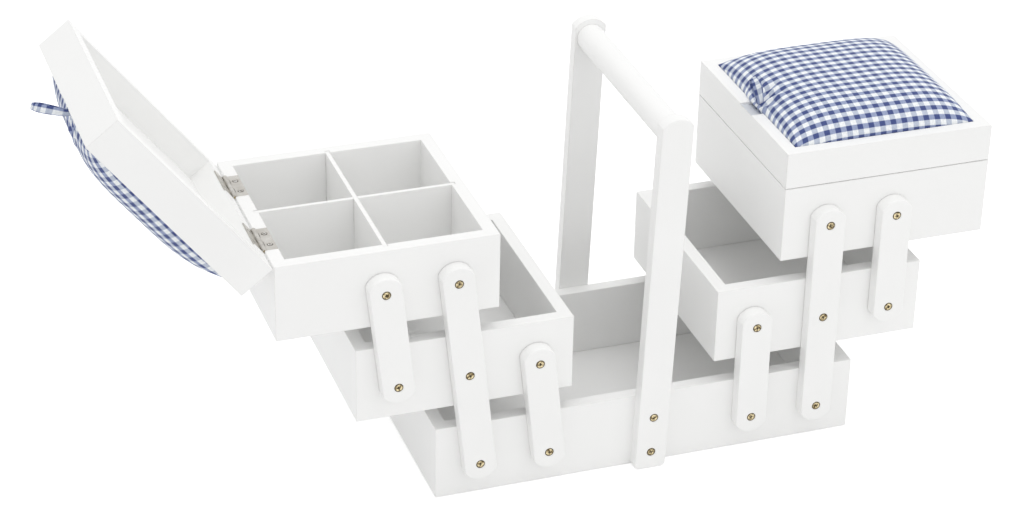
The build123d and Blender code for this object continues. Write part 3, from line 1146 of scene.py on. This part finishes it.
def tapeLoop(name, half):
    # a folded tape of the same cloth: out, round and back to the gather
    width, length = half["loopWidth"], half["loopLength"]
    bpy.ops.mesh.primitive_grid_add(x_subdivisions=56, y_subdivisions=6, size=2.0, calc_uvs=True)
    piece = added(name)
    piece.data.uv_layers[0].name = "UVMap"
    lean = radians(half["loopLean"])
    out = Vector((-cos(lean), 0, sin(lean)))
    wide = Vector((sin(lean), 0, cos(lean)))
    inside, above = half["loopRoot"]
    root = Vector(
        (-lid["outerEnd"] + lid["wall"] + inside, half["loopY"], lid["height"] + above)
    )
    cloth = {}
    for vertex in piece.data.vertices:
        s, w = vertex.co.x, vertex.co.y  # along and across the tape, each from -1 to 1
        strand = 1 if s > 0 else -1
        cloth[vertex.index] = (s * length * tape["slack"], w * width / 2 + tape["checkAt"])
        reach = length * max(0.0, 1 - s * s) ** tape["roundTip"]
        share = reach / length
        spread = 2.4 * s * max(0.0, 1 - s * s) ** 0.9  # about 1 where the strands lie widest
        apart = half["loopBelly"] * spread + tape["apart"] * strand
        narrow = 1 - tape["pinch"][0] * (1 - share) ** 2 - tape["pinch"][1] * share**8
        apart += tape["twist"] * w * share
        cup = tape["cup"] * (1 - w * w) * strand * (1 - share)
        point = root + out * reach + Vector((0, apart + cup, 0))
        point += wide * (w * width / 2 * narrow)
        if abs(s) > 0.985:  # only the two ends
            point -= Vector((0, 0, tape["tail"]))
        vertex.co = point * mm
    for loop in piece.data.loops:
        piece.data.uv_layers[0].data[loop.index].uv = cloth[loop.vertex_index]
    solid = piece.modifiers.new("thickness", "SOLIDIFY")
    solid.thickness = tape["thickness"] * mm
    solid.offset = 0
    soft = piece.modifiers.new("soft", "SUBSURF")
    soft.levels = soft.render_levels = 1
    applyAll(piece)
    smooth(piece, 60)
    return piece


for side, half in halves.items():
    cushion = shapeCushion(side + "Cushion", half["loopY"])
    fillCushion(cushion, half["loopY"])
    finer = cushion.modifiers.new("finer", "SUBSURF")
    finer.levels = finer.render_levels = 1
    applyAll(cushion)
    closeUnderside(cushion)
    smooth(cushion, 70)
    moveMesh(cushion, lidPlace(side))
    dress(cushion, cotton)
    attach(cushion, side + "_lid")
    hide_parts(side + "_cushion")

    loop = tapeLoop(side + "PullLoop", half)
    moveMesh(loop, lidPlace(side))
    dress(loop, cotton)
    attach(loop, side + "_lid")
    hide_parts(side + "_pull_loop")
print("stage: cushions and loops made")


stage = {"floor": "#f4f4f4", "size": 7.0, "drop": 0.2, "glow": 0.4, "world": 0.87}


def backgroundRays(tree):
    # 1 where the background itself is seen: by the camera, in gloss and through glass
    ray = addNode(tree, "ShaderNodeLightPath")
    seen = (ray, "Is Camera Ray")
    for kind in ("Is Glossy Ray", "Is Transmission Ray"):
        either = addNode(
            tree, "ShaderNodeMath", {"operation": "MAXIMUM"}, {0: seen, 1: (ray, kind)}
        )
        seen = (either, 0)
    return seen


bpy.ops.mesh.primitive_plane_add(size=stage["size"], location=(0, 0, -stage["drop"] * mm))
floorPlane = added("floor")
floorMaterial, tree = newMaterial("paleStudioFloor")
matt = addNode(
    tree, "ShaderNodeBsdfPrincipled", {"Base Color": hexColour(stage["floor"]), "Roughness": 0.9}
)
glow = addNode(tree, "ShaderNodeEmission", {"Strength": stage["glow"]})
lit = addNode(tree, "ShaderNodeAddShader", {}, {0: (matt, 0), 1: (glow, 0)})
mixed = addNode(
    tree, "ShaderNodeMixShader", {}, {0: backgroundRays(tree), 1: (matt, 0), 2: (lit, 0)}
)
output(tree, mixed)
dress(floorPlane, floorMaterial)

scene = bpy.context.scene
world = bpy.data.worlds.new("studio")
scene.world = world
world.use_nodes = True
tree = world.node_tree
tree.nodes.clear()
plain = (1, 1, 1, 1)
around = addNode(tree, "ShaderNodeBackground", {"Color": plain, "Strength": stage["world"]})
white = addNode(tree, "ShaderNodeBackground", {"Color": plain, "Strength": 1.0})
mixed = addNode(
    tree, "ShaderNodeMixShader", {}, {0: backgroundRays(tree), 1: (around, 0), 2: (white, 0)}
)
addNode(tree, "ShaderNodeOutputWorld", {}, {"Surface": (mixed, 0)})

lamps = {
    "frontSoftbox": {"at": (0.7, -2.2, 1.5), "size": 1.9, "power": 4.5},
    "topSoftbox": {"at": (0.2, 0.1, 2.6), "size": 1.6, "power": 11},
}
lampsAimAt = Vector((0, 0, 0.12))
for name, lamp in lamps.items():
    light = bpy.data.lights.new(name, "AREA")
    light.size = lamp["size"]
    light.energy = lamp["power"]
    holder = bpy.data.objects.new(name, light)
    scene.collection.objects.link(holder)
    holder.location = lamp["at"]
    aim = lampsAimAt - Vector(lamp["at"])
    holder.rotation_euler = aim.to_track_quat("-Z", "Y").to_euler()

# a long lens from the front left, looking down: angles in degrees, offsets and distance in mm
view = {
    "focal": 2819.57,  # pixels, on an image 1024 wide
    "imageWidth": 1024,
    "azimuth": -19.52,
    "elevation": 29.21,
    "roll": 1.15,
    "right": 68.24,
    "up": -107.65,
    "distance": 2051.22,
}
azimuth, elevation, roll = (radians(view[key]) for key in ("azimuth", "elevation", "roll"))
back = Vector(
    (sin(azimuth) * cos(elevation), -cos(azimuth) * cos(elevation), sin(elevation))
)
levelX = Vector((0, 0, 1)).cross(back).normalized()
levelY = back.cross(levelX)
cameraX = levelX * cos(roll) + levelY * sin(roll)
cameraY = levelY * cos(roll) - levelX * sin(roll)
place = (back * view["distance"] - cameraX * view["right"] - cameraY * view["up"]) * mm
camera = bpy.data.cameras.new("camera")
camera.sensor_width = 36.0
camera.sensor_fit = "HORIZONTAL"
camera.lens = view["focal"] / view["imageWidth"] * camera.sensor_width
holder = bpy.data.objects.new("camera", camera)
scene.collection.objects.link(holder)
holder.matrix_world = Matrix.Translation(place) @ Matrix(
    (cameraX, cameraY, back)
).transposed().to_4x4()
scene.camera = holder
scene.view_settings.view_transform = "Standard"
print("stage: light and camera set")

bpy.context.view_layer.update()
